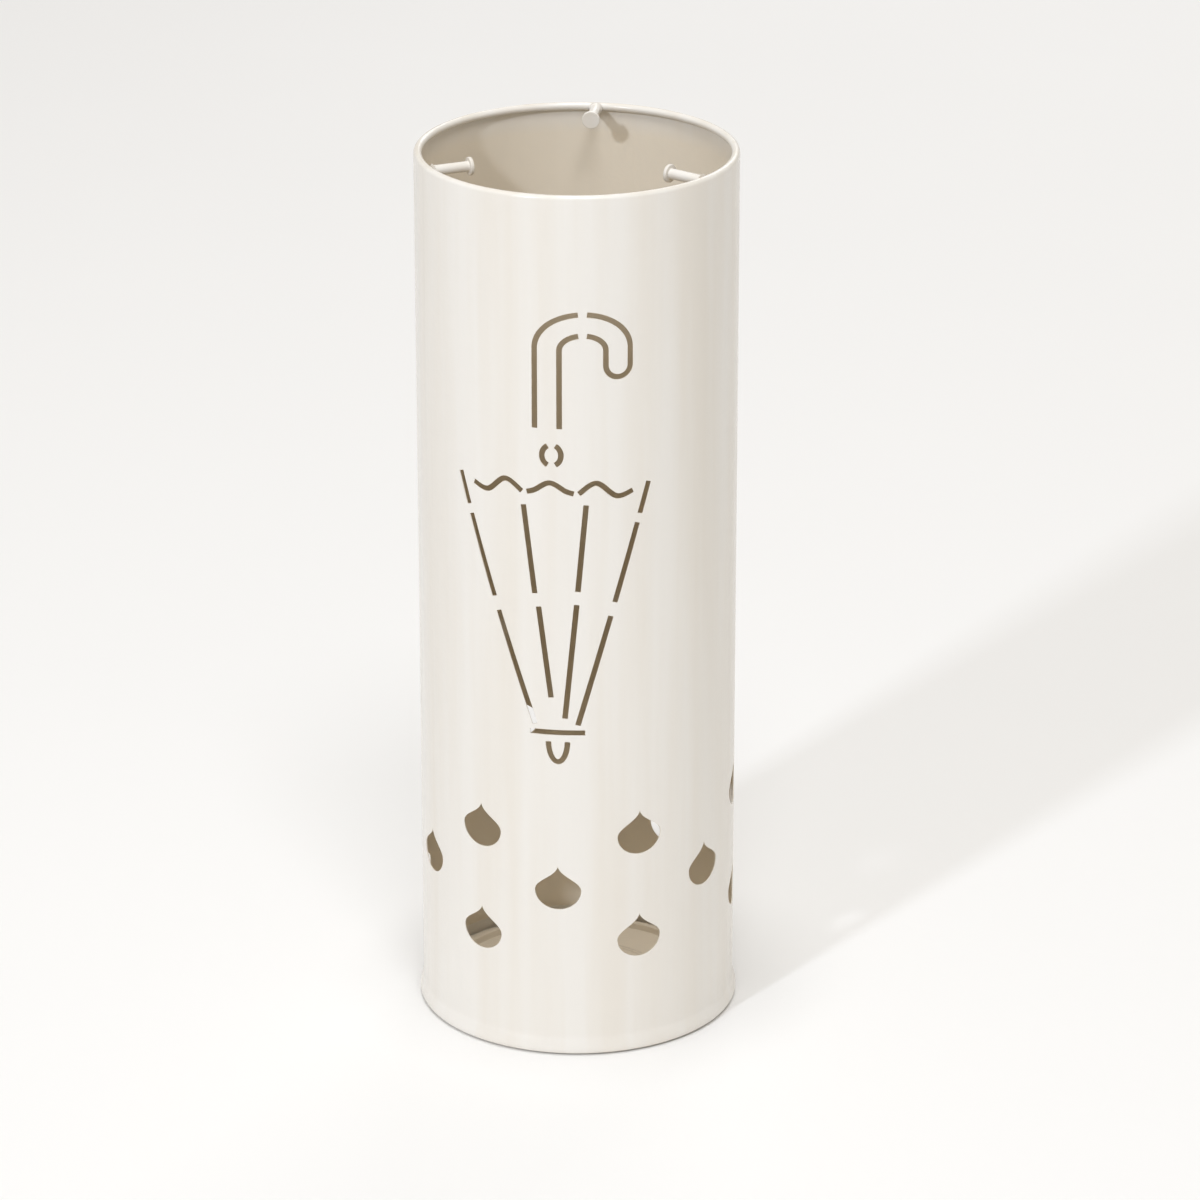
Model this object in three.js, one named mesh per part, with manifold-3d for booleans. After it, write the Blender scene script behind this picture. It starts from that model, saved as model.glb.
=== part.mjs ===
// Round umbrella stand in powder-coated sheet steel.
// Millimetres, +Z up. The origin is on the ground, on the stand's axis, and the front faces -Y.
// Angles run round the axis from the front, and are positive towards +X.

import * as THREE from 'three';
import { mergeVertices } from 'three/addons/utils/BufferGeometryUtils.js';
import Module from 'manifold-3d';

// ---------- Driving dimensions ----------

const HEIGHT = 500; // ground to the top of the rim
const BODY_DIAMETER = 176; // outside of the rolled sheet
const SHEET = 0.7; // steel sheet of the body, base and tray
const FIT = 0.3; // gap left between pieces that touch in the real stand
const ROUND_STEPS = 60; // flats round the body, rim, base and tray

// Top rim: the sheet, butt-welded into a tube, is rolled inwards round a steel wire.
const RIM_WIRE_DIAMETER = 2.5;
const RIM_WIRE_SIDES = 8;
const CURL_TURN = THREE.MathUtils.degToRad(295); // how far the sheet goes round the wire
const CURL_STEPS = 7;

// Foot of the body: a crease, a bead that bulges out below it, and a hem turned in to carry the base.
const BEAD_OUT = 2; // how far the bead stands out past the wall
const BEAD_RISE = 7; // height of the bulge, from the bend up to the crease
const BEAD_STEPS = 4;
const FOOT_CLEAR = 0.8; // hem's underside above the ground
const FOOT_BEND = 2.2; // outer radius of the bend from the bead into the hem
const FOOT_BEND_STEPS = 3;
const HEM_WIDTH = 4; // flat part of the hem

// Base: a pressed disc held on the hem, with its floor raised by a small step.
const BASE_LEDGE = 9; // width of the disc's lower edge
const BASE_STEP = 0.9; // rise of the floor above that edge

// Foot pads, stuck under the base.
const PAD_DIAMETER = 16;
const PAD_CHAMFER = 0.5;
const PAD_GLUE = 0.2; // adhesive film between a pad and the base
const PAD_INSET = 22; // pad centres inside the body's outer surface
const PAD_COUNT = 4;

// Drip tray, loose on the base.
const TRAY_WALL_GAP = 10; // tray's lip to the body's inside
const TRAY_HEIGHT = 4;
const TRAY_WALL_LEAN = 1.2; // how far the tray's wall leans out
const TRAY_LIP_WIDTH = 1.9;

// Hooks: headed pins welded to the inside of the rim.
const HOOK_LENGTH = 22.6; // rim to the face of the head
const HOOK_ROD_DIAMETER = 5.7;
const HOOK_HEAD_DIAMETER = 9.9;
const HOOK_HEAD_THICKNESS = 2;
const HOOK_HEAD_CHAMFER = 0.6;
const HOOK_WELD_SIZE = 0.9; // leg of the weld round the pin's root
const HOOK_BELOW_WIRE = 0.75; // pin's axis below the middle of the rim
const HOOK_SIDES = 16;
const HOOK_ANGLES = { left: -Math.PI / 3, right: Math.PI / 3, back: Math.PI };

// Raindrop cut-outs: columns of one drop and of two drops in turn, all round the body.
const DROP_WIDTH = 25.7;
const DROP_HEIGHT = 25.5;
const DROP_BELLY = 11.3; // the widest level above the drop's lowest point
const DROP_FIRST = 57.8; // lowest point of the lowest row
const DROP_ROW_PITCH = 31.05;
const DROP_COLUMNS = 12;
const DROP_BELLY_STEPS = 10;
const DROP_SHOULDER_STEPS = 4;

// Umbrella stencil above the drops.
const STROKE = 3; // width of a stencil slot
const STENCIL_ABOVE_DROPS = 30.7;
const STENCIL_BELOW_RIM = 63.8;
const CANOPY_LEAN = 0.0235; // the canopy leans left by this much for each unit of height
const CUT_DEPTH = 4; // how far a cutter reaches past the sheet on each side
const CUT_TIDY = 0.01; // edges shorter than this are closed up after the cutting

// ---------- Sizes that follow from them ----------

const bodyRadius = BODY_DIAMETER / 2;
const innerRadius = bodyRadius - SHEET;
const wireRadius = RIM_WIRE_DIAMETER / 2;
const curlInside = wireRadius + FIT;
const curlOutside = curlInside + SHEET;
const curlCentre = { r: bodyRadius - curlOutside, z: HEIGHT - curlOutside };
const rimInnerRadius = curlCentre.r - curlOutside;

const footRadius = bodyRadius + BEAD_OUT;
const bendTop = FOOT_CLEAR + FOOT_BEND;
const hemOuter = footRadius - FOOT_BEND;
const hemInner = hemOuter - HEM_WIDTH;
const ledgeUnderside = FOOT_CLEAR + SHEET + FIT;
const floorUnderside = ledgeUnderside + BASE_STEP;
const floorTop = floorUnderside + SHEET;
const floorRadius = hemOuter - BASE_LEDGE;
const padThickness = floorUnderside - PAD_GLUE;

const dropColumnPitch = (2 * Math.PI * bodyRadius) / DROP_COLUMNS;
const dropsTop = DROP_FIRST + 2 * DROP_ROW_PITCH + DROP_HEIGHT;
const stencilBottom = dropsTop + STENCIL_ABOVE_DROPS + STROKE / 2;
const stencilTop = HEIGHT - STENCIL_BELOW_RIM - STROKE / 2;

// ---------- Materials ----------

const creamCoat = new THREE.MeshStandardMaterial({ color: 0xefe9e2, roughness: 0.42, metalness: 0 });
const steelWire = new THREE.MeshStandardMaterial({ color: 0x9a9a9a, roughness: 0.4, metalness: 1 });
const footRubber = new THREE.MeshStandardMaterial({ color: 0x3a3937, roughness: 0.9, metalness: 0 });

// ---------- Helpers ----------

const wasm = await Module();
wasm.setup();

// A closed three.js geometry as a solid that can be joined and cut.
function toSolid(geometry) {
  const bare = geometry.clone();
  bare.deleteAttribute('normal');
  bare.deleteAttribute('uv');
  const merged = mergeVertices(bare, 1e-4);
  return new wasm.Manifold(
    new wasm.Mesh({
      numProp: 3,
      vertProperties: merged.attributes.position.array,
      triVerts: new Uint32Array(merged.index.array),
    }),
  );
}

function toGeometry(solid) {
  const mesh = solid.getMesh();
  const geometry = new THREE.BufferGeometry();
  geometry.setAttribute('position', new THREE.BufferAttribute(mesh.vertProperties, 3));
  geometry.setIndex(new THREE.BufferAttribute(mesh.triVerts, 1));
  geometry.computeVertexNormals();
  return geometry;
}

// A profile of [radius, height] points turned round +Z. The outside of the profile runs upwards.
function turned(profile, steps) {
  const points = profile.map(([r, z]) => new THREE.Vector2(r, z));
  return new THREE.LatheGeometry(points, steps).rotateX(Math.PI / 2);
}

function closed(profile) {
  return [...profile, profile[0]];
}

// A flat shape, drawn on the unrolled sheet, bent round the axis between two radii.
// x on the sheet is the distance round the body from the front, and y is the height.
function bent(shape, fromRadius, toRadius) {
  const geometry = new THREE.ExtrudeGeometry(shape, { depth: toRadius - fromRadius, bevelEnabled: false });
  const position = geometry.attributes.position;
  for (let i = 0; i < position.count; i++) {
    const angle = position.getX(i) / bodyRadius;
    const radius = fromRadius + position.getZ(i);
    position.setXYZ(i, radius * Math.sin(angle), -radius * Math.cos(angle), position.getY(i));
  }
  return toSolid(geometry);
}

function named(name, geometry, material) {
  const mesh = new THREE.Mesh(geometry, material);
  mesh.name = name;
  return mesh;
}

// ---------- Raindrop cut-outs ----------

// One drop, its lowest point at (x, y): half an ellipse below, and two S-shaped shoulders up to the tip.
function dropShape(x, y) {
  const half = DROP_WIDTH / 2;
  const belly = new THREE.EllipseCurve(x, y + DROP_BELLY, half, DROP_BELLY, Math.PI, 2 * Math.PI);
  const bellyEnd = new THREE.Vector2(x + half, y + DROP_BELLY);
  const tip = new THREE.Vector2(x, y + DROP_HEIGHT);
  const rise = DROP_HEIGHT - DROP_BELLY;
  const fullness = new THREE.Vector2(x + half, y + DROP_BELLY + 0.4 * rise);
  const neck = new THREE.Vector2(x + 0.12 * half, y + DROP_BELLY + 0.58 * rise);
  const shoulder = new THREE.CubicBezierCurve(bellyEnd, fullness, neck, tip).getPoints(DROP_SHOULDER_STEPS);
  const mirrored = shoulder.slice(1, -1).map((p) => new THREE.Vector2(2 * x - p.x, p.y));
  return new THREE.Shape([...belly.getPoints(DROP_BELLY_STEPS), ...shoulder.slice(1), ...mirrored.reverse()]);
}

function dropShapes() {
  const shapes = [];
  for (let column = 0; column < DROP_COLUMNS; column++) {
    const rows = column % 2 === 0 ? [1] : [0, 2];
    for (const row of rows) {
      shapes.push(dropShape(column * dropColumnPitch, DROP_FIRST + row * DROP_ROW_PITCH));
    }
  }
  return shapes;
}

// ---------- Umbrella stencil ----------

// A slot of even width along a centreline, with square ends.
function slotShape(line) {
  const sides = line.map((point, i) => {
    const before = line[Math.max(i - 1, 0)];
    const after = line[Math.min(i + 1, line.length - 1)];
    const along = after.clone().sub(before).normalize();
    const across = new THREE.Vector2(-along.y, along.x).multiplyScalar(STROKE / 2);
    return [point.clone().add(across), point.clone().sub(across)];
  });
  const left = sides.map(([side]) => side);
  const right = sides.map(([, side]) => side);
  return new THREE.Shape([...right, ...left.reverse()]);
}

function line(...points) {
  return points.map(([x, y]) => new THREE.Vector2(x, y));
}

function smooth(points, steps) {
  return new THREE.SplineCurve(line(...points)).getPoints(steps);
}

function arc(x, y, radiusX, radiusY, fromDegrees, toDegrees, steps) {
  const from = THREE.MathUtils.degToRad(fromDegrees);
  const to = THREE.MathUtils.degToRad(toDegrees);
  return new THREE.EllipseCurve(x, y, radiusX, radiusY, from, to, to < from).getPoints(steps);
}

// Centrelines as drawn: x is across from the umbrella's axis, y is up from the tip of the ferrule.
const DRAWN_HEIGHT = 257.1;

function canopyLines() {
  const edgeAt = (y) => 11.75 + 0.308 * (y - 21.7);
  const edgeBreaks = [
    [21.7, 85.2],
    [93, 137.7],
    [142.8, 160.5],
  ];
  const lines = [];
  for (const [low, high] of edgeBreaks) {
    lines.push(line([edgeAt(low), low], [edgeAt(high), high]));
    lines.push(line([-edgeAt(low), low], [-edgeAt(high), high]));
  }
  lines.push(line([4.8, 25.6], [12.9, 92.3]), line([13.7, 99.8], [19.4, 149.7]));
  lines.push(line([-2.5, 37.7], [-8, 90.5]), line([-9.9, 97.9], [-14.9, 148.6]));
  const hemSide = [
    [15.6, 156.2],
    [25.3, 162.1],
    [36, 154.3],
    [45.2, 156.6],
  ];
  lines.push(smooth(hemSide, 10));
  lines.push(smooth(hemSide.map(([x, y]) => [-x, y]), 10));
  const hemMiddle = [
    [-12.9, 156.2],
    [-8.6, 157.6],
    [0, 162.1],
    [8.6, 157.6],
    [12.9, 156.2],
  ];
  lines.push(smooth(hemMiddle, 8));
  return lines.map((points) => points.map((p) => new THREE.Vector2(p.x - CANOPY_LEAN * p.y, p.y)));
}

function ferruleLines() {
  return [line([-15.2, 17.3], [15.2, 17.3]), arc(0.3, 11.8, 5.2, 11.8, 180, 360, 8)];
}

// A round collar under the handle, as two half rings.
function collarLines() {
  return [arc(-2.8, 177.8, 5.2, 5.9, -66, 66, 5), arc(-2.8, 177.8, 5.2, 5.9, 114, 246, 5)];
}

function handleLines() {
  const bendX = 14; // middle of the bend
  const bridge = 10.6; // half the angle, in degrees, left uncut at the top of the bend
  const outer = { x: 25.9, y: 19.1, spring: 238 };
  const inner = { x: 12.5, y: 8.3, spring: 237 };
  const shaftEnd = 192.8;
  const noseSpring = 228.4;
  const nose = (outer.x - inner.x) / 2;
  const outerLeft = [
    ...arc(bendX, outer.spring, outer.x, outer.y, 90 + bridge / 2, 180, 6),
    ...line([bendX - outer.x, shaftEnd]),
  ];
  const innerLeft = [
    ...arc(bendX, inner.spring, inner.x, inner.y, 90 + bridge, 180, 5),
    ...line([bendX - inner.x, shaftEnd]),
  ];
  const right = [
    ...arc(bendX, outer.spring, outer.x, outer.y, 90 - bridge / 2, 0, 6),
    ...arc(bendX + inner.x + nose, noseSpring, nose, nose, 0, -180, 8),
    ...arc(bendX, inner.spring, inner.x, inner.y, 0, 90 - bridge, 5),
  ];
  return [outerLeft, innerLeft, right];
}

function stencilShapes() {
  const scale = (stencilTop - stencilBottom) / DRAWN_HEIGHT;
  const place = (p) => new THREE.Vector2(p.x * scale, stencilBottom + p.y * scale);
  const lines = [...canopyLines(), ...ferruleLines(), ...collarLines(), ...handleLines()];
  return lines.map((points) => slotShape(points.map(place)));
}

// ---------- Body ----------

// Points of the foot, from the hem up to the straight wall, at one depth inside the outer surface.
function foot(inset) {
  const points = [[hemInner, FOOT_CLEAR + inset]];
  for (let i = 0; i <= FOOT_BEND_STEPS; i++) {
    const angle = (Math.PI / 2) * (i / FOOT_BEND_STEPS - 1);
    const radius = FOOT_BEND - inset;
    points.push([hemOuter + radius * Math.cos(angle), bendTop + radius * Math.sin(angle)]);
  }
  for (let i = 1; i <= BEAD_STEPS; i++) {
    const share = i / BEAD_STEPS;
    const radius = bodyRadius + BEAD_OUT * (1 - share ** 2) - inset;
    points.push([radius, bendTop + BEAD_RISE * share]);
  }
  return points;
}

// Points of the curl, from the wall over the top and in, at one radius from the wire's centre.
function curl(radius) {
  const points = [];
  for (let i = 0; i <= CURL_STEPS; i++) {
    const angle = (CURL_TURN * i) / CURL_STEPS;
    points.push([curlCentre.r + radius * Math.cos(angle), curlCentre.z + radius * Math.sin(angle)]);
  }
  return points;
}

function bodyShell() {
  const outside = [...foot(0), ...curl(curlOutside)];
  const inside = [...foot(SHEET), ...curl(curlInside)];
  const profile = closed([...outside, ...inside.reverse()]);
  const cutters = [...dropShapes(), ...stencilShapes()].map((shape) =>
    bent(shape, innerRadius - CUT_DEPTH, bodyRadius + CUT_DEPTH),
  );
  const solid = toSolid(turned(profile, ROUND_STEPS)).subtract(wasm.Manifold.union(cutters));
  return named('body_shell', toGeometry(solid.simplify(CUT_TIDY)), creamCoat);
}

function rimWire() {
  const profile = [];
  for (let i = 0; i < RIM_WIRE_SIDES; i++) {
    const angle = (2 * Math.PI * i) / RIM_WIRE_SIDES;
    profile.push([curlCentre.r + wireRadius * Math.cos(angle), curlCentre.z + wireRadius * Math.sin(angle)]);
  }
  return named('rim_wire', turned(closed(profile), ROUND_STEPS), steelWire);
}

// ---------- Base ----------

function basePan() {
  const profile = [
    [0, floorUnderside],
    [floorRadius - BASE_STEP, floorUnderside],
    [floorRadius, ledgeUnderside],
    [hemOuter, ledgeUnderside],
    [hemOuter, ledgeUnderside + SHEET],
    [floorRadius, ledgeUnderside + SHEET],
    [floorRadius - BASE_STEP, floorTop],
    [0, floorTop],
  ];
  return named('base_pan', turned(profile, ROUND_STEPS), creamCoat);
}

function footPads() {
  const radius = PAD_DIAMETER / 2;
  const profile = [
    [0, 0],
    [radius - PAD_CHAMFER, 0],
    [radius, PAD_CHAMFER],
    [radius, padThickness],
    [0, padThickness],
  ];
  const pads = [];
  for (let i = 0; i < PAD_COUNT; i++) {
    const angle = ((i + 0.5) * 2 * Math.PI) / PAD_COUNT;
    const pad = named(`foot_pad_${i + 1}`, turned(profile, 20), footRubber);
    const reach = bodyRadius - PAD_INSET;
    pad.position.set(reach * Math.sin(angle), -reach * Math.cos(angle), 0);
    pads.push(pad);
  }
  return pads;
}

// ---------- Drip tray ----------

function dripTray() {
  const lipRadius = innerRadius - TRAY_WALL_GAP;
  const wallTop = lipRadius - TRAY_LIP_WIDTH;
  const wallFoot = wallTop - TRAY_WALL_LEAN;
  const low = floorTop + FIT;
  const high = low + TRAY_HEIGHT;
  const profile = [
    [0, low],
    [wallFoot, low],
    [wallTop, high - SHEET],
    [lipRadius, high - SHEET],
    [lipRadius, high],
    [wallTop - SHEET, high],
    [wallFoot - SHEET, low + SHEET],
    [0, low + SHEET],
  ];
  return named('drip_tray', turned(profile, ROUND_STEPS), creamCoat);
}

// ---------- Hooks ----------

function hookPin(side) {
  const rod = HOOK_ROD_DIAMETER / 2;
  const head = HOOK_HEAD_DIAMETER / 2;
  const length = HOOK_LENGTH - FIT;
  const neck = length - HOOK_HEAD_THICKNESS;
  const profile = [
    [0, 0],
    [rod + HOOK_WELD_SIZE, 0],
    [rod + HOOK_WELD_SIZE / 4, HOOK_WELD_SIZE / 2],
    [rod, HOOK_WELD_SIZE],
    [rod, neck],
    [head - HOOK_HEAD_CHAMFER, neck],
    [head, neck + HOOK_HEAD_CHAMFER],
    [head, length - HOOK_HEAD_CHAMFER],
    [head - HOOK_HEAD_CHAMFER, length],
    [0, length],
  ];
  // The pin is turned round +Z, then laid along +Y, from the rim at the front towards the axis.
  const pin = named(`hook_pin_${side}`, turned(profile, HOOK_SIDES).rotateX(-Math.PI / 2), creamCoat);
  pin.position.set(0, FIT - rimInnerRadius, curlCentre.z - HOOK_BELOW_WIRE);
  const turn = new THREE.Group();
  turn.rotation.z = HOOK_ANGLES[side];
  turn.add(pin);
  return turn;
}

// ---------- Assembly ----------

const stand = new THREE.Group();
stand.add(bodyShell(), rimWire(), basePan(), dripTray(), ...footPads());
stand.add(...Object.keys(HOOK_ANGLES).map(hookPin));

export default stand;
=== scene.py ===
"""A round umbrella stand in powder-coated sheet steel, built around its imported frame.

Lengths are metres. Angles run round the stand's axis from the front, positive towards +X, and the
point at an angle a, a radius r and a height z is (r sin a, -r cos a, z). The unrolled sheet has u, the
distance round the wall from the front, and z, the height.
"""

import math

import bmesh
import bpy
import numpy as np
from bpy.props import FloatProperty, FloatVectorProperty, IntProperty, PointerProperty
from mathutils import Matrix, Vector
from mathutils.geometry import delaunay_2d_cdt


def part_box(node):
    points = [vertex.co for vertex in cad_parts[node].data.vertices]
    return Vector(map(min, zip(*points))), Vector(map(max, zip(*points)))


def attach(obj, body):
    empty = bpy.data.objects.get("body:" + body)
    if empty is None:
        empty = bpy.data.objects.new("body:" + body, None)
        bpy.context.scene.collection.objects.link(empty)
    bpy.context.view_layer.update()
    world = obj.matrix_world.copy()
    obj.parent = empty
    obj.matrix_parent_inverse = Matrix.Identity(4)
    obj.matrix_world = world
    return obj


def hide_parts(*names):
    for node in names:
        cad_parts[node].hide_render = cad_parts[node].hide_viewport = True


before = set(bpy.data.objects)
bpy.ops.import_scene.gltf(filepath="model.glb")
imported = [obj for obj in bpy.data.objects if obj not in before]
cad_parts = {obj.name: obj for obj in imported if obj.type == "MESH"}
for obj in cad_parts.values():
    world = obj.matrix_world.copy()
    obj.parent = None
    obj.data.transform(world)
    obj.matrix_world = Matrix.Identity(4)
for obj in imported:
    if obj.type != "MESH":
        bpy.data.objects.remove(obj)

bl_info = {
    "name": "Umbrella Stand",
    "version": (1, 0, 0),
    "blender": (4, 5, 0),
    "location": "View3D > Sidebar > Umbrella Stand",
    "description": "Rolled and pierced sheet-steel umbrella stand with a loose drip tray",
    "category": "Object",
}

MM = 0.001
TURN = 2 * math.pi
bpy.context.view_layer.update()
HOOKS = ("left", "right", "back")
PADS = (1, 2, 3, 4)


# ---------- Sizes that the frame gives ----------

def node_box(node):
    """Lowest and highest corners of a frame node, as arrays."""
    low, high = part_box(node)
    return np.array(low), np.array(high)


BODY_HIGH = node_box("body_shell")[1]
WIRE_LOW, WIRE_HIGH = node_box("rim_wire")
BASE_LOW, BASE_HIGH = node_box("base_pan")
TRAY_LOW, TRAY_HIGH = node_box("drip_tray")
BACK_HOOK_LOW, BACK_HOOK_HIGH = node_box("hook_pin_back")
PAD_LOW, PAD_HIGH = node_box("foot_pad_1")

FOOT_RADIUS = BODY_HIGH[0]
RIM_TOP = BODY_HIGH[2]
WIRE_RADIUS = (WIRE_HIGH[2] - WIRE_LOW[2]) / 2
CURL_RADIUS = WIRE_HIGH[0] - WIRE_RADIUS
CURL_HEIGHT = (WIRE_HIGH[2] + WIRE_LOW[2]) / 2
CURL_OUTSIDE = RIM_TOP - CURL_HEIGHT
WALL_RADIUS = CURL_RADIUS + CURL_OUTSIDE


# ---------- Sizes and colours that a user would change ----------

def linear(hex_colour):
    """An sRGB hex colour as linear red, green and blue."""
    channels = np.array([int(hex_colour[i:i + 2], 16) for i in (1, 3, 5)]) / 255
    low = channels / 12.92
    high = ((channels + 0.055) / 1.055) ** 2.4
    return tuple(np.where(channels <= 0.04045, low, high).tolist())


def length(name, description, default):
    return FloatProperty(name=name, description=description, default=default, min=0, unit="LENGTH", precision=5)


def colour(name, description, default):
    return FloatVectorProperty(
        name=name, description=description, default=linear(default), size=3, min=0, max=1, subtype="COLOR"
    )


def turn_of(name, description, degrees):
    return FloatProperty(name=name, description=description, default=math.radians(degrees), subtype="ANGLE")


class SheetSizes(bpy.types.PropertyGroup):
    """Sizes of the rolled sheet."""

    sheet: length("Sheet", "Thickness of the steel sheet", 0.7 * MM)
    edge_round: length("Edge rounding", "Radius that the coat gives a cut edge", 0.13 * MM)
    foot_clear: length("Foot clearance", "Hem's underside above the ground", 0.8 * MM)
    foot_bend: length("Foot bend", "Outer radius of the bend into the hem", 2.2 * MM)
    bead_rise: length("Bead rise", "Height of the foot's bulge, from the bend up to the crease", 7 * MM)
    crease: length("Crease", "How far the crease above the foot is blended into the wall", 0.8 * MM)
    hem: length("Hem", "Width of the flat hem", 4 * MM)
    curl_turn: turn_of("Curl", "How far the rim goes round its wire", 295)
    seam_width: length("Seam", "Width of the ground weld down the back", 3.4 * MM)
    seam_rise: length("Seam rise", "How far the ground weld stands off the sheet", 0.09 * MM)
    columns: IntProperty(name="Facets", description="Grid columns round the wall", default=200, min=48)


class CutSizes(bpy.types.PropertyGroup):
    """Sizes of the laser-cut stencil and drops."""

    drop_width: length("Drop width", "Width of a raindrop", 25.7 * MM)
    drop_height: length("Drop height", "Height of a raindrop", 25.5 * MM)
    drop_belly: length("Drop belly", "Widest level above the drop's lowest point", 11.3 * MM)
    drop_first: length("Lowest drop", "Lowest point of the lowest row", 57.8 * MM)
    drop_pitch: length("Row pitch", "Distance between rows of drops", 31.05 * MM)
    drop_columns: IntProperty(name="Columns", description="Columns of drops round the wall", default=12, min=2)
    stroke: length("Stroke", "Width of a stencil slot", 3 * MM)
    above_drops: length("Above drops", "Stencil's lowest edge above the drops", 30.7 * MM)
    below_rim: length("Below rim", "Stencil's highest edge below the rim", 63.8 * MM)


class Finish(bpy.types.PropertyGroup):
    """Colours and surface of the finishes."""

    coat: colour("Coat", "Cream-white powder coat", "#F3EFE8")
    coat_shade: colour("Coat, thicker film", "Coat where the film is thicker and yellower", "#EFE9DF")
    coat_edge: colour("Coat on edges", "Coat drawn thin over cut edges and the rim", "#E6DECF")
    # Painted light and shade inside the tube: the inside tone is a brighter, warmer cream that stands in for
    # light bounced round the tube, and the deep inside tone is a darker, browner painted shade.
    inside_painted_light: colour("Coat inside", "Coat on the inside near the rim and the foot", "#F8EEDC")
    inside_painted_shade: colour("Coat deep inside", "Coat deep inside the tube, where the film is thin", "#D8C9AE")
    wire: colour("Wire", "Bright drawn steel wire", "#A6A49F")
    rubber: colour("Rubber", "Cellular rubber of the foot pads", "#2F2E2C")
    floor: colour("Floor", "Pale studio floor", "#F8F7F5")
    peel: length("Orange peel", "Spacing of the coat's ripples", 2.4 * MM)


class Stage(bpy.types.PropertyGroup):
    """Camera and lights."""

    azimuth: turn_of("Azimuth", "Camera's turn to the right", 7)
    elevation: turn_of("Elevation", "Camera above the horizon", 21.8)
    distance: length("Distance", "Camera to the middle of the stand", 3.0)
    lens: FloatProperty(
        name="Lens", description="Focal length in millimetres", default=161.8, subtype="DISTANCE_CAMERA"
    )
    aside: length("Aside", "How far right of the stand's axis the camera looks", 12.5 * MM)
    aim_height: length("Aim height", "Height that the camera looks at", 237.7 * MM)


# ---------- Outlines on the unrolled sheet ----------

def unit(vectors):
    """Rows scaled to length one; rows of no length stay as they are."""
    size = np.linalg.norm(vectors, axis=-1, keepdims=True)
    return vectors / np.where(size > 0, size, 1)


def distinct(outline):
    """A closed outline without points that repeat the one before."""
    step = np.linalg.norm(outline - np.roll(outline, 1, axis=0), axis=1)
    return outline[step > 1e-8]


def softened(corners, reach, steps=5):
    """Rounds a closed outline: each corner gives way to a quadratic curve that starts and ends `reach` from it.

    Points a third of the reach further out keep the flats beside the curve flat when they are shaded.
    """
    reach = np.broadcast_to(reach, len(corners))[:, None]
    back = unit(np.roll(corners, 1, axis=0) - corners)
    ahead = unit(np.roll(corners, -1, axis=0) - corners)
    start = (corners + back * reach)[:, None]
    end = (corners + ahead * reach)[:, None]
    t = np.linspace(0, 1, steps + 1)[None, :, None]
    curve = (1 - t) ** 2 * start + 2 * t * (1 - t) * corners[:, None] + t ** 2 * end
    before = (corners + back * reach * 4 / 3)[:, None]
    after = (corners + ahead * reach * 4 / 3)[:, None]
    return distinct(np.concatenate([before, curve, after], axis=1).reshape(-1, 2))


def straight(start, end, spacing=2.5 * MM):
    """Evenly spaced points on a straight line."""
    start, end = np.array(start, float), np.array(end, float)
    count = max(2, math.ceil(np.linalg.norm(end - start) / spacing))
    return start + (end - start) * np.linspace(0, 1, count + 1)[:, None]


def elliptic(centre, radii, from_degrees, to_degrees, steps):
    """Points on an ellipse: centre + (a cos t, b sin t)."""
    t = np.radians(np.linspace(from_degrees, to_degrees, steps + 1))
    return np.array(centre) + np.array(radii) * np.stack([np.cos(t), np.sin(t)], axis=1)


def evenly(points, spacing):
    """A run of points moved along itself until they are evenly spaced."""
    travelled = np.concatenate([[0], np.cumsum(np.linalg.norm(np.diff(points, axis=0), axis=1))])
    count = max(2, round(travelled[-1] / spacing))
    at = np.linspace(0, travelled[-1], count + 1)
    return np.stack([np.interp(at, travelled, points[:, 0]), np.interp(at, travelled, points[:, 1])], axis=1)


def through(points, spacing):
    """A Catmull-Rom curve through a few points, evenly spaced."""
    points = np.array(points, float)
    last = len(points) - 1
    place = np.linspace(0, last, 40 * last + 1)
    span = np.minimum(place.astype(int), last - 1)
    t = (place - span)[:, None]
    p0, p1 = points[np.maximum(span - 1, 0)], points[span]
    p2, p3 = points[span + 1], points[np.minimum(span + 2, last)]
    curve = 0.5 * (
        2 * p1 + (p2 - p0) * t + (2 * p0 - 5 * p1 + 4 * p2 - p3) * t ** 2 + (3 * p1 - p0 - 3 * p2 + p3) * t ** 3
    )
    return evenly(curve, spacing)


def joined(*runs):
    """Runs of points end to end, without the points that repeat where they meet."""
    points = np.concatenate(runs)
    step = np.linalg.norm(np.diff(points, axis=0), axis=1)
    return points[np.concatenate([[True], step > 1e-8])]


def slot(centreline, width, corner):
    """A slot of even width: the centreline moved to each side by half the width, with four soft corners."""
    along = unit(np.gradient(centreline, axis=0))
    across = np.stack([-along[:, 1], along[:, 0]], axis=1) * width / 2
    outline = np.concatenate([centreline - across, (centreline + across)[::-1]])
    reach = np.zeros(len(outline))
    ends = [0, len(centreline) - 1, len(centreline), len(outline) - 1]
    reach[ends] = corner
    return softened(outline, reach, 4)


def drop(centre, lowest, cut):
    """A raindrop: half an ellipse below, and an S-shaped cubic curve from each side up to the tip."""
    half = cut.drop_width / 2
    rise = cut.drop_height - cut.drop_belly
    belly = elliptic((0, cut.drop_belly), (half, cut.drop_belly), 180, 360, 36)
    ends = np.array([
        [half, cut.drop_belly],
        [half, cut.drop_belly + 0.4 * rise],
        [0.12 * half, cut.drop_belly + 0.58 * rise],
        [0, cut.drop_height],
    ])
    t = np.linspace(0, 1, 19)[:, None]
    weights = np.concatenate([(1 - t) ** 3, 3 * t * (1 - t) ** 2, 3 * t ** 2 * (1 - t), t ** 3], axis=1)
    right = weights @ ends
    left = right[-2:0:-1] * [-1, 1]
    return joined(belly, right[1:], left) + [centre, lowest]


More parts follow.
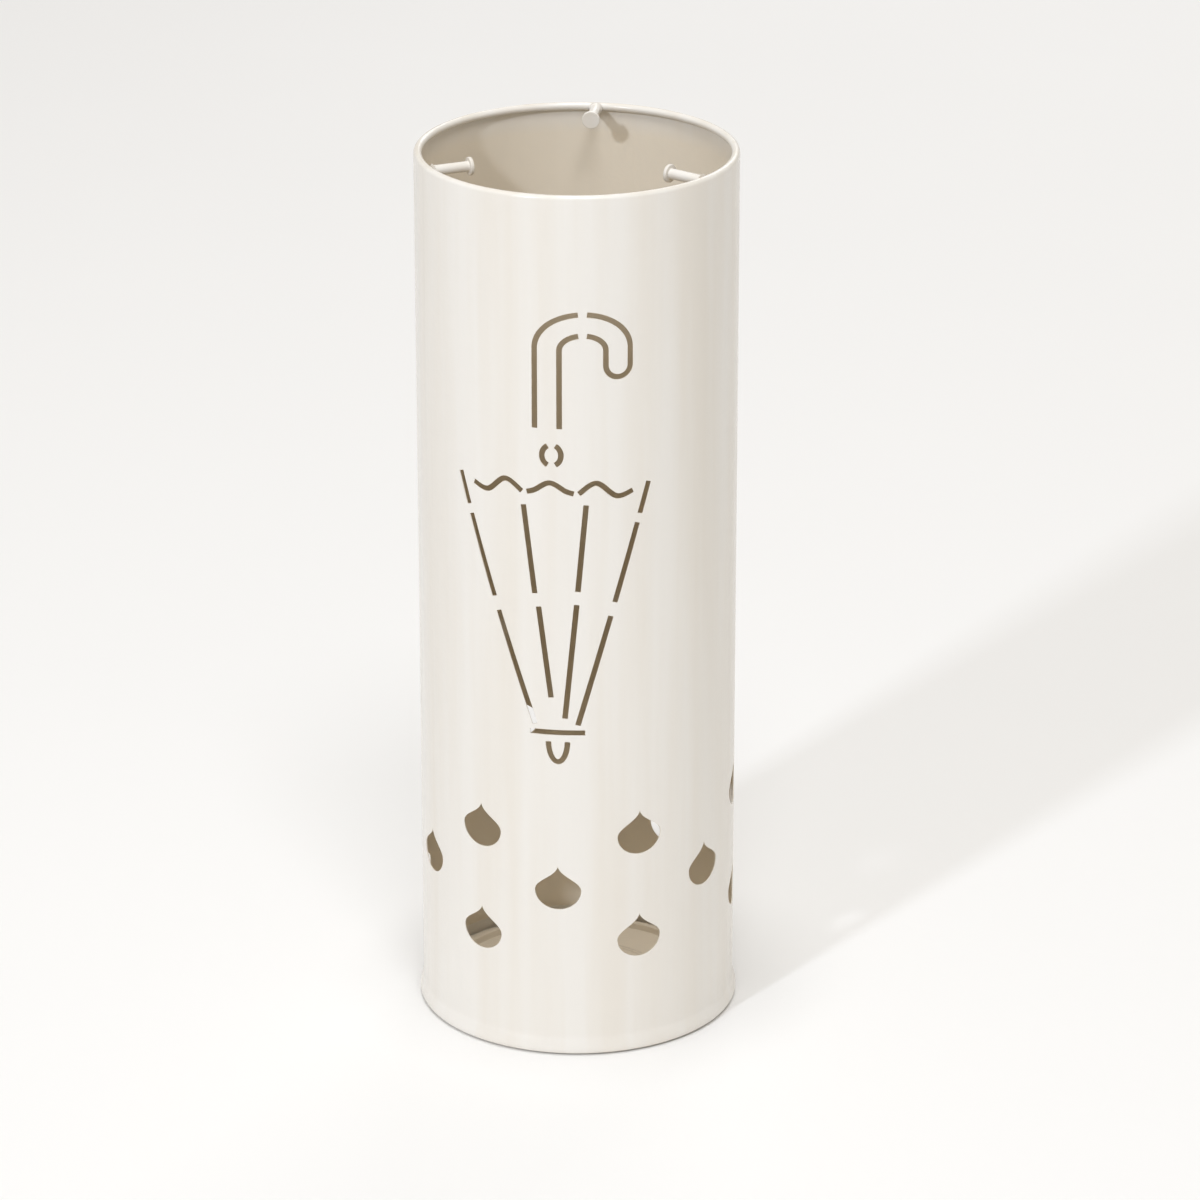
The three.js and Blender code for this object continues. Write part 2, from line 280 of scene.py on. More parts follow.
def drops(cut):
    """Columns of one drop and of two drops in turn, all round the wall."""
    pitch = TURN * WALL_RADIUS / cut.drop_columns
    first = -cut.drop_columns // 2
    outlines = []
    for column in range(first, first + cut.drop_columns):
        rows = (1,) if column % 2 == 0 else (0, 2)
        outlines += [drop(column * pitch, cut.drop_first + row * cut.drop_pitch, cut) for row in rows]
    return outlines


def canopy():
    """Centrelines of the closed canopy, in millimetres from the umbrella's axis and up from its tip."""
    breaks = ((21.7, 85.2), (93, 137.7), (142.8, 160.5))
    lines = []
    for low, high in breaks:
        near, far = 11.75 + 0.308 * (low - 21.7), 11.75 + 0.308 * (high - 21.7)
        lines += [straight((near, low), (far, high), 2.5), straight((-near, low), (-far, high), 2.5)]
    ribs = [
        [(4.8, 25.6), (12.9, 92.3)],
        [(13.7, 99.8), (19.4, 149.7)],
        [(-2.5, 37.7), (-8, 90.5)],
        [(-9.9, 97.9), (-14.9, 148.6)],
    ]
    lines += [straight(low, high, 2.5) for low, high in ribs]
    hem_side = np.array([(15.6, 156.2), (25.3, 162.1), (36, 154.3), (45.2, 156.6)])
    hem_middle = [(-12.9, 156.2), (-8.6, 157.6), (0, 162.1), (8.6, 157.6), (12.9, 156.2)]
    lines += [through(hem_side, 1.1), through(hem_side * [-1, 1], 1.1), through(hem_middle, 1.1)]
    lean = 0.0235
    return [points - np.outer(points[:, 1], [lean, 0]) for points in lines]


def ferrule():
    """The band above the ferrule, and the ferrule as a deep U."""
    return [straight((-15.2, 17.3), (15.2, 17.3), 2.5), elliptic((0.3, 11.8), (5.2, 11.8), 180, 360, 24)]


def collar():
    """A round collar under the handle, as two half rings."""
    return [elliptic((-2.8, 177.8), (5.2, 5.9), start, start + 132, 16) for start in (-66, 114)]


def handle():
    """The cane handle: two lines up each shaft and round the bend, which meet round the nose."""
    bend, bridge = 14, 10.6
    outer, outer_spring = np.array([25.9, 19.1]), 238
    inner, inner_spring = np.array([12.5, 8.3]), 237
    shaft_end, nose_spring = 192.8, 228.4
    nose = (outer[0] - inner[0]) / 2
    outer_left = joined(
        elliptic((bend, outer_spring), outer, 90 + bridge / 2, 180, 24),
        straight((bend - outer[0], outer_spring), (bend - outer[0], shaft_end), 2.5),
    )
    inner_left = joined(
        elliptic((bend, inner_spring), inner, 90 + bridge, 180, 18),
        straight((bend - inner[0], inner_spring), (bend - inner[0], shaft_end), 2.5),
    )
    right = joined(
        elliptic((bend, outer_spring), outer, 90 - bridge / 2, 0, 24),
        straight((bend + outer[0], outer_spring), (bend + outer[0], nose_spring), 2.5),
        elliptic((bend + inner[0] + nose, nose_spring), (nose, nose), 0, -180, 24),
        straight((bend + inner[0], nose_spring), (bend + inner[0], inner_spring), 2.5),
        elliptic((bend, inner_spring), inner, 0, 90 - bridge, 18),
    )
    return [outer_left, inner_left, right]


def stencil(cut):
    """Slots of the umbrella, scaled to the height between the drops and the rim."""
    drawn_height = 257.1
    drops_top = cut.drop_first + 2 * cut.drop_pitch + cut.drop_height
    low = drops_top + cut.above_drops + cut.stroke / 2
    high = RIM_TOP - cut.below_rim - cut.stroke / 2
    scale = (high - low) / drawn_height
    lines = canopy() + ferrule() + collar() + handle()
    return [slot(points * scale + [0, low], cut.stroke, 0.45 * MM) for points in lines]


# ---------- The rolled sheet ----------

def seam_angle(cut):
    """Angle of the butt weld, midway between the column of drops at the back and the one before it."""
    return TURN * (0.5 - 0.5 / cut.drop_columns)


def wall_columns(sheet, cut):
    """Angles of the grid's columns from the weld round to itself: evenly spaced, and closer across the weld."""
    seam = seam_angle(cut)
    even = np.linspace(seam - TURN, seam, sheet.columns + 1)
    fine = np.linspace(0, 0.75, 7) * sheet.seam_width / WALL_RADIUS
    extra = np.concatenate([seam - TURN + fine, seam - fine])
    gap = np.abs(even[:, None] - extra[None, :]).min(axis=1)
    return np.sort(np.concatenate([even[gap > 0.4 * MM / WALL_RADIUS], extra]))


def smooth_step(x):
    """0 below 0, 1 above 1, and 3x^2 - 2x^3 between."""
    x = np.clip(x, 0, 1)
    return x * x * (3 - 2 * x)


def seam_relief(angles, heights, sheet, cut):
    """How far the ground weld stands off the sheet: a low band with soft edges, of uneven height."""
    shoulder = 0.8 * MM
    away = np.abs((angles - seam_angle(cut) + math.pi) % TURN - math.pi) * WALL_RADIUS
    across = smooth_step((sheet.seam_width / 2 - away) / shoulder + 0.5)
    wander = 0.7 + 0.2 * np.sin(heights / (13 * MM)) + 0.1 * np.sin(heights / (4.7 * MM) + 1)
    fade = 10 * MM
    upright = smooth_step((heights - 16 * MM) / fade) * smooth_step((RIM_TOP - 8 * MM - heights) / fade)
    return sheet.seam_rise * across * wander * upright


def foot_profile(sheet, inset):
    """Radius and height from the hem to the wall: a flat, a quarter turn, and a bulge that ends in a crease.

    The bulge is a parabola, out = (1 - s^2) with s from 0 at the bend to 1 at the crease. The crease is blended
    with the square root of a small constant: out = (x + sqrt(x^2 + c^2)) / 2 in place of max(x, 0).
    """
    bend_top = sheet.foot_clear + sheet.foot_bend
    hem_outer = FOOT_RADIUS - sheet.foot_bend
    hem_height = sheet.foot_clear + inset
    hem = straight((hem_outer - sheet.hem, hem_height), (hem_outer, hem_height), 1 * MM)
    bend = elliptic((hem_outer, bend_top), (sheet.foot_bend - inset,) * 2, -90, 0, 8)
    top = foot_top(sheet)
    height = np.linspace(bend_top, top, 25)[1:]
    share = (height - bend_top) / sheet.bead_rise
    bulge = 1 - share ** 2
    near_crease = smooth_step(share * 2 - 0.6) * smooth_step((top - height) / (2 * MM))
    blend = 2 * sheet.crease / sheet.bead_rise * near_crease
    out = (bulge + np.sqrt(bulge ** 2 + blend ** 2)) / 2
    surface = np.stack([WALL_RADIUS + (FOOT_RADIUS - WALL_RADIUS) * out, height], axis=1)
    along = unit(np.gradient(surface, axis=0))
    outwards = np.stack([along[:, 1], -along[:, 0]], axis=1)
    return joined(hem, bend, surface - inset * outwards)


def foot_top(sheet):
    """Height where the foot's profile gives way to the straight wall."""
    return sheet.foot_clear + sheet.foot_bend + sheet.bead_rise + 4 * MM


def curl_profile(sheet, inset):
    """Radius and height round the rolled rim, from the wall over the top and in."""
    radius = CURL_OUTSIDE - inset
    return elliptic((CURL_RADIUS, CURL_HEIGHT), (radius, radius), 0, math.degrees(sheet.curl_turn), 30)


def round_end(outer_tip, inner_tip, along):
    """Half an ellipse that closes the sheet's edge between its two tips."""
    t = np.linspace(0, math.pi, 7)[1:-1, None]
    middle = (outer_tip + inner_tip) / 2
    reach = np.linalg.norm(outer_tip - inner_tip) * 0.35
    return middle + (outer_tip - middle) * np.cos(t) + along * reach * np.sin(t)


def wrapped(angles, profile, outside, sheet, cut):
    """Points of a profile carried round the axis, pushed out or in by the relief of their side.

    angles is (n,), profile is (m, 2) and outside is (m,): 1 on the outer side, -1 on the inner, 0 on an edge.
    """
    angle, radius = np.meshgrid(angles, profile[:, 0], indexing="ij")
    height = np.broadcast_to(profile[:, 1], angle.shape)
    side = np.broadcast_to(outside, angle.shape)
    radius = radius + side * seam_relief(angle, height, sheet, cut)
    return np.stack([radius * np.sin(angle), -radius * np.cos(angle), height], axis=-1)


def grid_quads(rows, columns, first=0, closed=False):
    """Corner numbers of the quads of a grid of points that is stored row by row."""
    index = first + np.arange(rows * columns).reshape(rows, columns)
    if closed:
        index = np.concatenate([index, index[:, :1]], axis=1)
    quads = np.stack([index[:-1, :-1], index[1:, :-1], index[1:, 1:], index[:-1, 1:]], axis=-1)
    return quads.reshape(-1, 4)


def inside(points, outline):
    """Even-odd test of points against a closed outline."""
    a, b = outline, np.roll(outline, -1, axis=0)
    x, y = points[:, :1], points[:, 1:]
    spans = (a[:, 1] > y) != (b[:, 1] > y)
    rise = np.where(a[:, 1] == b[:, 1], 1, b[:, 1] - a[:, 1])
    crossing = a[:, 0] + (y - a[:, 1]) * (b[:, 0] - a[:, 0]) / rise
    return (np.sum(spans & (x < crossing), axis=1) % 2).astype(bool)


def grown(outline, offset):
    """An outline moved outwards by an even offset, with mitred corners."""
    along = unit(np.roll(outline, -1, axis=0) - outline)
    out = np.stack([along[:, 1], -along[:, 0]], axis=1)
    before = np.roll(out, 1, axis=0)
    mitre = (before + out) / (1 + np.sum(before * out, axis=1, keepdims=True))
    return outline + mitre * offset


def edge_section(sheet):
    """Offset into the metal and depth under the outer surface, round one cut edge of the sheet."""
    radius, lead = sheet.edge_round, 0.25 * MM
    t = np.linspace(0, math.pi / 2, 5)
    offset = radius * (1 - np.sin(t))
    depth = radius * (1 - np.cos(t))
    upper = np.stack([offset, depth], axis=1)
    lower = np.stack([offset, sheet.sheet - depth], axis=1)[::-1]
    return np.concatenate([[[radius + lead, 0]], upper, lower, [[radius + lead, sheet.sheet]]])


def net(angles, heights, outlines):
    """Flat triangles of the wall between the outlines: a grid that gives way round each one.

    Returns the points (u, z) in metres and the triangles. The grid's points inside an outline or close
    beside it are left out, the outlines become edges, and the triangles in the openings are dropped.
    """
    clear = 0.8 * MM
    grid = np.stack(np.meshgrid(angles * WALL_RADIUS, heights, indexing="ij"), axis=-1)
    keep = np.ones(grid.shape[:2], bool)
    for outline in outlines:
        low, high = outline.min(axis=0) - clear, outline.max(axis=0) + clear
        near = np.all((grid > low) & (grid < high), axis=-1)
        points = grid[near]
        if len(points):
            gap = np.linalg.norm(points[:, None] - outline[None], axis=-1).min(axis=1)
            keep[near] &= ~inside(points, outline) & (gap > clear)
    number = np.where(keep, np.cumsum(keep).reshape(keep.shape) - 1, -1)
    points = [grid[keep]]
    sides = [number[:, 0], number[:, -1], number[0], number[-1]]
    edges = [np.stack([side[:-1], side[1:]], axis=1) for side in sides]
    owner = [np.full(int(keep.sum()), -1)]
    first = int(keep.sum())
    for i, outline in enumerate(outlines):
        loop = first + np.arange(len(outline))
        edges.append(np.stack([loop, np.roll(loop, -1)], axis=1))
        points.append(outline)
        owner.append(np.full(len(outline), i))
        first += len(outline)
    points, edges, owner = np.concatenate(points), np.concatenate(edges), np.concatenate(owner)
    found = delaunay_2d_cdt((points / MM).tolist(), edges.tolist(), [], 0, 1e-6)
    if len(found[0]) != len(points):
        raise RuntimeError("two outlines on the sheet touch each other")
    triangles = np.array(found[2])
    source = np.array([origin[0] for origin in found[3]])
    triangles = source[triangles]
    whose = owner[triangles]
    same = (whose[:, 0] >= 0) & (whose[:, 0] == whose[:, 1]) & (whose[:, 1] == whose[:, 2])
    opening = np.zeros(len(triangles), bool)
    for i, outline in enumerate(outlines):
        mine = np.flatnonzero(same & (whose[:, 0] == i))
        opening[mine] = inside(points[triangles[mine]].mean(axis=1), outline)
    return points, triangles[~opening]


def sheet_surface(sheet, cut):
    """The whole pierced sheet as points, faces and marks: 1 for a point on a cut edge, 0 for the others.

    It's two skins, the curl and the hem that join them, and a strip round each opening.
    """
    angles = wall_columns(sheet, cut)
    net_low, net_high, net_rows = 50 * MM, 450 * MM, 49      # the part of the wall that holds the openings
    below = straight((WALL_RADIUS, foot_top(sheet)), (WALL_RADIUS, net_low), 5 * MM)
    above = straight((WALL_RADIUS, net_high), (WALL_RADIUS, CURL_HEIGHT), 6 * MM)
    shift = np.array([sheet.sheet, 0])
    chains = []
    outer_top = joined(above, curl_profile(sheet, 0))
    inner_top = joined(above - shift, curl_profile(sheet, sheet.sheet))
    direction = unit(outer_top[-1:] - outer_top[-2:-1])[0]
    chains.append((outer_top, round_end(outer_top[-1], inner_top[-1], direction), inner_top[::-1]))
    outer_low = joined(foot_profile(sheet, 0), below)
    inner_low = joined(foot_profile(sheet, sheet.sheet), below - shift)
    end = round_end(inner_low[0], outer_low[0], np.array([-1.0, 0]))
    chains.append((inner_low[::-1], end, outer_low))

    points, faces = [], []
    for number, runs in enumerate(chains):
        profile = np.concatenate(runs)
        sides = (1, 0, -1) if number == 0 else (-1, 0, 1)
        outside = np.concatenate([np.full(len(run), side) for run, side in zip(runs, sides)])
        surface = wrapped(angles, profile, outside, sheet, cut)
        first = sum(map(len, points))
        faces.append(grid_quads(len(angles), len(profile), first))
        points.append(surface.reshape(-1, 3))

    section = edge_section(sheet)
    holes = drops(cut) + stencil(cut)
    rims = [grown(hole, section[0, 0]) for hole in holes]
    flat, triangles = net(angles, np.linspace(net_low, net_high, net_rows), rims)
    turn = flat[:, 0] / WALL_RADIUS
    relief = seam_relief(turn, flat[:, 1], sheet, cut)
    outer, inner = WALL_RADIUS + relief, WALL_RADIUS - sheet.sheet - relief
    for radius, winding in ((outer, triangles), (inner, triangles[:, ::-1])):
        first = sum(map(len, points))
        faces.append(first + winding)
        points.append(np.stack([radius * np.sin(turn), -radius * np.cos(turn), flat[:, 1]], axis=1))

    marks = [np.zeros(sum(map(len, points)))]
    for hole in holes:
        rings = np.stack([grown(hole, offset) for offset in section[:, 0]])
        turn = rings[..., 0] / WALL_RADIUS
        radius = WALL_RADIUS - section[:, 1:]
        strip = np.stack([radius * np.sin(turn), -radius * np.cos(turn), rings[..., 1]], axis=-1)
        first = sum(map(len, points))
        faces.append(grid_quads(len(section), len(hole), first, closed=True))
        points.append(strip.reshape(-1, 3))
        on_edge = np.ones(strip.shape[:2])
        on_edge[[0, -1]] = 0
        marks.append(on_edge.reshape(-1))
    return np.concatenate(points), faces, np.concatenate(marks)


# ---------- Turned pieces ----------

def turned(profile, steps, weave=None):
    """A profile of (radius, height) carried round +Z as points and faces.

    A profile that starts and ends on the axis gets a point at each pole, and any other is closed on
    itself. weave(angle, radius, height) may change the radius, for a surface that isn't quite round.
    """
    poles = profile[0, 0] < 1e-9 and profile[-1, 0] < 1e-9
    rings = profile[1:-1] if poles else np.concatenate([profile, profile[:1]])
    angle = np.linspace(0, TURN, steps, endpoint=False)
    angle, radius = np.meshgrid(angle, rings[:, 0], indexing="xy")
    height = np.broadcast_to(rings[:, 1:], angle.shape)
    if weave:
        radius = radius + weave(angle, radius, height)
    points = np.stack([radius * np.sin(angle), -radius * np.cos(angle), height], axis=-1).reshape(-1, 3)
    faces = [grid_quads(len(rings), steps, closed=True)]
    if poles:
        ends = np.array([[0, 0, profile[0, 1]], [0, 0, profile[-1, 1]]])
        points = np.concatenate([points, ends])
        ring = np.arange(steps)
        after = np.roll(ring, -1)
        last = (len(rings) - 1) * steps
        faces.append(np.stack([np.full(steps, len(points) - 2), ring, after], axis=1))
        faces.append(np.stack([np.full(steps, len(points) - 1), last + after, last + ring], axis=1))
    return points, faces


def softened_solid(corners, reach, steps=5):
    """A profile that starts and ends on the axis, with its other corners rounded."""
    reach = np.concatenate([[0], np.broadcast_to(reach, len(corners) - 2), [0]])
    corners = np.array(corners, float)
    rounded = softened(corners, reach, steps)
    start = np.argmin(np.linalg.norm(rounded - corners[0], axis=1))
    return np.roll(rounded, -start, axis=0)


# ---------- Pieces ----------

def add_piece(name, surface, material, body, nodes, marks=None):
    """Makes a mesh of points and faces, welds its seams, gives it its material and body, and hides the frame
    nodes that it stands in for.

    marks says how far each point is on a cut edge, for the coat.
    """
    points, faces = surface
    mesh = bpy.data.meshes.new(name)
    mesh.from_pydata(points.tolist(), [], [face for block in faces for face in block.tolist()])
    cut_edge = mesh.attributes.new("cut_edge", "FLOAT", "POINT")
    cut_edge.data.foreach_set("value", np.zeros(len(points)) if marks is None else marks)
    shell = bmesh.new()
    shell.from_mesh(mesh)
    bmesh.ops.remove_doubles(shell, verts=shell.verts, dist=2e-6)
    bmesh.ops.recalc_face_normals(shell, faces=shell.faces)
    shell.to_mesh(mesh)
    shell.free()
    mesh.shade_smooth()
    mesh.materials.append(material)
    piece = bpy.data.objects.new(name, mesh)
    bpy.context.scene.collection.objects.link(piece)
    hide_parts(*nodes)
    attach(piece, body)
    return piece


# ---------- Materials ----------

def add_node(tree, kind, links=None, **settings):
    """Adds one node with its settings, and links its inputs: links maps an input's name to an output."""
    node = tree.nodes.new(kind)
    inputs = settings.pop("inputs", {})
    for key, value in settings.items():
        setattr(node, key, value)
    for key, value in inputs.items():
        node.inputs[key].default_value = value
    for key, output in (links or {}).items():
        tree.links.new(output, node.inputs[key])
    return node


def new_material(name):
    """An empty node material, and its shader."""
    material = bpy.data.materials.get(name) or bpy.data.materials.new(name)
    material.use_nodes = True
    tree = material.node_tree
    tree.nodes.clear()
    shader = add_node(tree, "ShaderNodeBsdfPrincipled")
    add_node(tree, "ShaderNodeOutputMaterial", {"Surface": shader.outputs["BSDF"]})
    return material, tree, shader


def powder_coat(finish):
    """Polyester powder coat on steel, sprayed dry and baked: a satin film with a fine orange peel.

    The spray gun goes up and down the wall, so the film's thickness varies in faint upright bands.
    """
    material, tree, shader = new_material("cream_powder_coat")
    shader.inputs["IOR"].default_value = 1.5
    place = add_node(tree, "ShaderNodeTexCoord").outputs["Object"]
    passes = add_node(tree, "ShaderNodeMapping", {"Vector": place}, inputs={"Scale": (1, 1, 0.05)})
    cloud = add_node(
        tree, "ShaderNodeTexNoise", {"Vector": passes.outputs["Vector"]},
        inputs={"Scale": 1 / (22 * MM), "Detail": 4.0},
    )
    film = add_node(tree, "ShaderNodeValToRGB", {"Fac": cloud.outputs["Fac"]})
    film.color_ramp.elements[0].position = 0.35
    film.color_ramp.elements[0].color = (*finish.coat_shade, 1)
    film.color_ramp.elements[1].position = 0.6
    film.color_ramp.elements[1].color = (*finish.coat, 1)

    # Painted light and shade inside the tube, on the wall's inside and on the coated pieces within it: a
    # brighter, warmer cream near the rim and the foot stands in for bounced light, and a darker, browner tone
    # that is darkest halfway down is painted shade.
    parts = add_node(tree, "ShaderNodeSeparateXYZ", {"Vector": place})
    flat = add_node(tree, "ShaderNodeVectorMath", {0: place}, operation="MULTIPLY", inputs={1: (1, 1, 0)})
    radius = add_node(tree, "ShaderNodeVectorMath", {0: flat.outputs["Vector"]}, operation="LENGTH")
    inside = add_node(
        tree, "ShaderNodeMath", {0: radius.outputs["Value"]}, operation="LESS_THAN",
        inputs={1: WALL_RADIUS - 0.5 * MM},
    )
    below_rim = add_node(
        tree, "ShaderNodeMapRange", {"Value": parts.outputs["Z"]},
        inputs={"From Min": RIM_TOP - 5 * MM, "From Max": RIM_TOP - 18 * MM},
    )
    within = add_node(
        tree, "ShaderNodeMath", {0: inside.outputs["Value"], 1: below_rim.outputs["Result"]},
        operation="MULTIPLY",
    )
    from_top = add_node(
        tree, "ShaderNodeMapRange", {"Value": parts.outputs["Z"]}, interpolation_type="SMOOTHSTEP",
        inputs={"From Min": RIM_TOP - 60 * MM, "From Max": RIM_TOP - 170 * MM},
    )
    from_foot = add_node(
        tree, "ShaderNodeMapRange", {"Value": parts.outputs["Z"]}, interpolation_type="SMOOTHSTEP",
        inputs={"From Min": 60 * MM, "From Max": 160 * MM},
    )
    middle = add_node(
        tree, "ShaderNodeMath", {0: from_top.outputs["Result"], 1: from_foot.outputs["Result"]},
        operation="MULTIPLY",
    )
    # Painted light near the rim and the foot, painted shade halfway down the tube.
    inner = add_node(
        tree, "ShaderNodeMix", {"Factor": middle.outputs["Value"]},
        data_type="RGBA", inputs={"A": (*finish.inside_painted_light, 1), "B": (*finish.inside_painted_shade, 1)},
    )
    tone = add_node(
        tree, "ShaderNodeMix",
        {"Factor": within.outputs["Value"], "A": film.outputs["Color"], "B": inner.outputs["Result"]},
        data_type="RGBA",
    )

    # The melted film draws back from cut edges, and hands rub the top of the rim.
    edge = add_node(tree, "ShaderNodeAttribute", attribute_name="cut_edge")
    rim = add_node(
        tree, "ShaderNodeMapRange", {"Value": parts.outputs["Z"]},
        inputs={"From Min": RIM_TOP - 1.0 * MM, "From Max": RIM_TOP, "To Max": 0.7},
    )
    worn = add_node(
        tree, "ShaderNodeMath", {0: edge.outputs["Fac"], 1: rim.outputs["Result"]}, operation="MAXIMUM"
    )
    patches = add_node(
        tree, "ShaderNodeTexNoise", {"Vector": place}, inputs={"Scale": 1 / (11 * MM), "Detail": 3.0}
    )
    share = add_node(
        tree, "ShaderNodeMapRange", {"Value": patches.outputs["Fac"]},
        inputs={"From Min": 0.35, "From Max": 0.65},
    )
    thinned = add_node(
        tree, "ShaderNodeMath", {0: worn.outputs["Value"], 1: share.outputs["Result"]}, operation="MULTIPLY"
    )
    coat = add_node(
        tree, "ShaderNodeMix", {"Factor": thinned.outputs["Value"], "A": tone.outputs["Result"]},
        data_type="RGBA", inputs={"B": (*finish.coat_edge, 1)},
    )
    tree.links.new(coat.outputs["Result"], shader.inputs["Base Color"])

    # The sprayed film's gloss varies a little in patches a few millimetres across, and it is glossier inside.
    gloss = add_node(
        tree, "ShaderNodeTexNoise", {"Vector": place}, inputs={"Scale": 1 / (6 * MM), "Detail": 3.0}
    )
    satin = add_node(
        tree, "ShaderNodeMapRange", {"Value": gloss.outputs["Fac"]},
        inputs={"From Min": 0.3, "From Max": 0.7, "To Min": 0.2, "To Max": 0.27},
    )
    smoother = add_node(
        tree, "ShaderNodeMapRange", {"Value": within.outputs["Value"]}, inputs={"To Min": 1.0, "To Max": 0.6}
    )
    roughness = add_node(
        tree, "ShaderNodeMath", {0: satin.outputs["Result"], 1: smoother.outputs["Result"]},
        operation="MULTIPLY",
    )
    tree.links.new(roughness.outputs["Value"], shader.inputs["Roughness"])

    # Orange peel: soft ripples a few millimetres apart, on top of the sheet's faint upright roll marks.
    peel = add_node(
        tree, "ShaderNodeTexNoise", {"Vector": place}, inputs={"Scale": 1 / finish.peel, "Detail": 1.0}
    )
    upright = add_node(tree, "ShaderNodeMapping", {"Vector": place}, inputs={"Scale": (1, 1, 0.02)})
    rolls = add_node(
        tree, "ShaderNodeTexNoise", {"Vector": upright.outputs["Vector"]},
        inputs={"Scale": 1 / (9 * MM), "Detail": 2.0},
    )
    waves = add_node(
        tree, "ShaderNodeBump", {"Height": rolls.outputs["Fac"]},
        inputs={"Strength": 0.5, "Distance": 0.36 * MM},
    )
    bump = add_node(
        tree, "ShaderNodeBump", {"Height": peel.outputs["Fac"], "Normal": waves.outputs["Normal"]},
        inputs={"Strength": 0.5, "Distance": 0.1 * MM},
    )
    tree.links.new(bump.outputs["Normal"], shader.inputs["Normal"])
    return material


def drawn_wire(finish):
    """Bright drawn steel wire: a bare metal with fine marks along its length."""
    material, tree, shader = new_material("drawn_steel_wire")
    shader.inputs["Metallic"].default_value = 1
    shader.inputs["Base Color"].default_value = (*finish.wire, 1)
    place = add_node(tree, "ShaderNodeTexCoord").outputs["Object"]
    stretched = add_node(tree, "ShaderNodeMapping", {"Vector": place}, inputs={"Scale": (1, 1, 12)})
    marks = add_node(
        tree, "ShaderNodeTexNoise", {"Vector": stretched.outputs["Vector"]}, inputs={"Scale": 1 / (2 * MM)}
    )
    roughness = add_node(
        tree, "ShaderNodeMapRange", {"Value": marks.outputs["Fac"]}, inputs={"To Min": 0.25, "To Max": 0.5}
    )
    tree.links.new(roughness.outputs["Result"], shader.inputs["Roughness"])
    return material


def cellular_rubber(finish):
    """Cellular rubber, die-cut: dark, dull and finely pitted."""
    material, tree, shader = new_material("cellular_rubber")
    shader.inputs["Roughness"].default_value = 0.85
    place = add_node(tree, "ShaderNodeTexCoord").outputs["Object"]
    cells = add_node(tree, "ShaderNodeTexVoronoi", {"Vector": place}, inputs={"Scale": 1 / (0.9 * MM)})
    tone = add_node(tree, "ShaderNodeValToRGB", {"Fac": cells.outputs["Distance"]})
    tone.color_ramp.elements[0].color = (*[c * 0.7 for c in finish.rubber], 1)
    tone.color_ramp.elements[1].color = (*finish.rubber, 1)
    tree.links.new(tone.outputs["Color"], shader.inputs["Base Color"])
    pits = add_node(
        tree, "ShaderNodeBump", {"Height": cells.outputs["Distance"]},
        inputs={"Strength": 0.4, "Distance": 0.2 * MM},
    )
    tree.links.new(pits.outputs["Normal"], shader.inputs["Normal"])
    return material


def studio_paper(finish):
    """Seamless studio paper: matte, pale and very slightly mottled."""
    material, tree, shader = new_material("studio_paper")
    shader.inputs["Roughness"].default_value = 0.95
    shader.inputs["Specular IOR Level"].default_value = 0.1
    place = add_node(tree, "ShaderNodeTexCoord").outputs["Object"]
    mottle = add_node(tree, "ShaderNodeTexNoise", {"Vector": place}, inputs={"Scale": 3.0, "Detail": 2.0})
    tone = add_node(tree, "ShaderNodeValToRGB", {"Fac": mottle.outputs["Fac"]})
    tone.color_ramp.elements[0].color = (*[c * 0.985 for c in finish.floor], 1)
    tone.color_ramp.elements[1].color = (*finish.floor, 1)
    tree.links.new(tone.outputs["Color"], shader.inputs["Base Color"])
    return material


# ---------- Operators ----------

class UMBRELLA_OT_body(bpy.types.Operator):
    """Roll, pierce, curl and hem the body"""

    bl_idname = "umbrella_stand.body"
    bl_label = "Body"

    def execute(self, context):
        scene = context.scene
        points, faces, marks = sheet_surface(scene.stand_sheet, scene.stand_cut)
        material = powder_coat(scene.stand_finish)
        add_piece("rolled_body", (points, faces), material, "stand", ["body_shell"], marks)
        return {"FINISHED"}


class UMBRELLA_OT_rim_wire(bpy.types.Operator):
    """Lay the wire in the curled rim"""

    bl_idname = "umbrella_stand.rim_wire"
    bl_label = "Rim wire"

    def execute(self, context):
        section = elliptic((CURL_RADIUS, CURL_HEIGHT), (WIRE_RADIUS, WIRE_RADIUS), 0, 360, 16)[:-1]
        material = drawn_wire(context.scene.stand_finish)
        add_piece("stiffening_wire", turned(section, 160), material, "stand", ["rim_wire"])
        return {"FINISHED"}


class UMBRELLA_OT_base(bpy.types.Operator):
    """Press the base that the hem holds"""

    bl_idname = "umbrella_stand.base"
    bl_label = "Base"

    def execute(self, context):
        sheet = context.scene.stand_sheet.sheet
        low, top, radius = BASE_LOW[2], BASE_HIGH[2], BASE_HIGH[0]
        step = top - low - sheet
        flange = 9 * MM
        floor = radius - flange
        corners = [
            (0, low + step),
            (floor - step, low + step),
            (floor, low),
            (radius, low),
            (radius, low + sheet),
            (floor, low + sheet),
            (floor - step, top),
            (0, top),
        ]
        edge, bend = 0.25 * MM, 0.45 * MM
        profile = softened_solid(corners, [bend, bend, edge, edge, bend, bend])
        material = powder_coat(context.scene.stand_finish)
        add_piece("pressed_base", turned(profile, 160), material, "stand", ["base_pan"])
        return {"FINISHED"}


